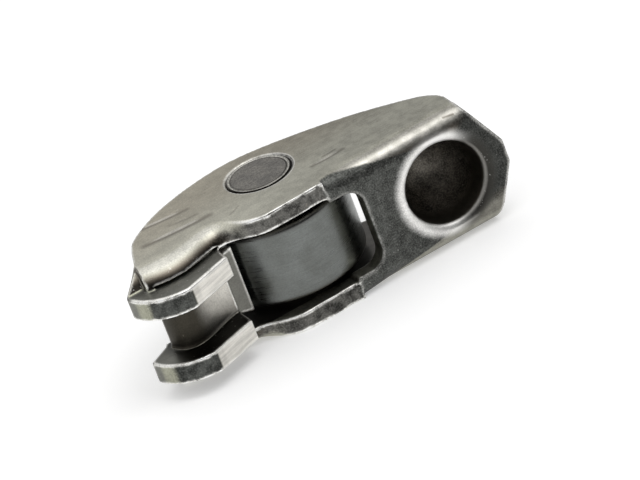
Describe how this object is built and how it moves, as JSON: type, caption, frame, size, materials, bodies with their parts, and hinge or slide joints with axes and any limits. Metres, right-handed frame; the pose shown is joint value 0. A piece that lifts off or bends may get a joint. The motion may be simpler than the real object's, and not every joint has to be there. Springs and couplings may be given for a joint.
{
  "type": "rocker arm",
  "caption": "Rocker arm pressed from sheet steel: a cupped ball socket at one end, a free-turning roller on a staked pin in the middle, a rounded pallet between guide ears at the other.",
  "frame": {"origin": "on the ball socket's axis, halfway along its straight land, at mid-width", "axes": "+Z along the roller pin; +X from the valve pallet towards the ball socket's end; +Y towards the cam, so the socket's mouth and the pallet face -Y"},
  "size_m": [0.0466, 0.0206, 0.0154],
  "materials": {
    "body_steel": "satin",
    "pin_steel": "matte",
    "roller_steel": "satin",
    "washer_steel": "satin",
    "needle_steel": "polished"
  },
  "bodies": {
    "arm": {"rocker_body": "body_steel", "axle_pin": "pin_steel", "thrust_washer_upper": "washer_steel", "thrust_washer_lower": "washer_steel"},
    "roller": {"roller": "roller_steel"},
    "needles": {"needle_01": "needle_steel", "needle_02": "needle_steel", "needle_03": "needle_steel", "needle_04": "needle_steel", "needle_05": "needle_steel", "needle_06": "needle_steel", "needle_07": "needle_steel", "needle_08": "needle_steel", "needle_09": "needle_steel", "needle_10": "needle_steel", "needle_11": "needle_steel", "needle_12": "needle_steel", "needle_13": "needle_steel", "needle_14": "needle_steel", "needle_15": "needle_steel", "needle_16": "needle_steel", "needle_17": "needle_steel", "needle_18": "needle_steel"}
  },
  "joints": [
    {"name": "roller_spin", "type": "hinge", "parent": "arm", "child": "roller", "pos_m": [-0.017, 0.00805, 0], "axis": [0, 0, 1], "continuous": true},
    {"name": "needle_orbit", "type": "hinge", "parent": "arm", "child": "needles", "pos_m": [-0.017, 0.00805, 0], "axis": [0, 0, 1], "continuous": true}
  ],
  "couplings": [
    {"joint": "needle_orbit", "follows": "roller_spin", "ratio": 0.5838}
  ]
}
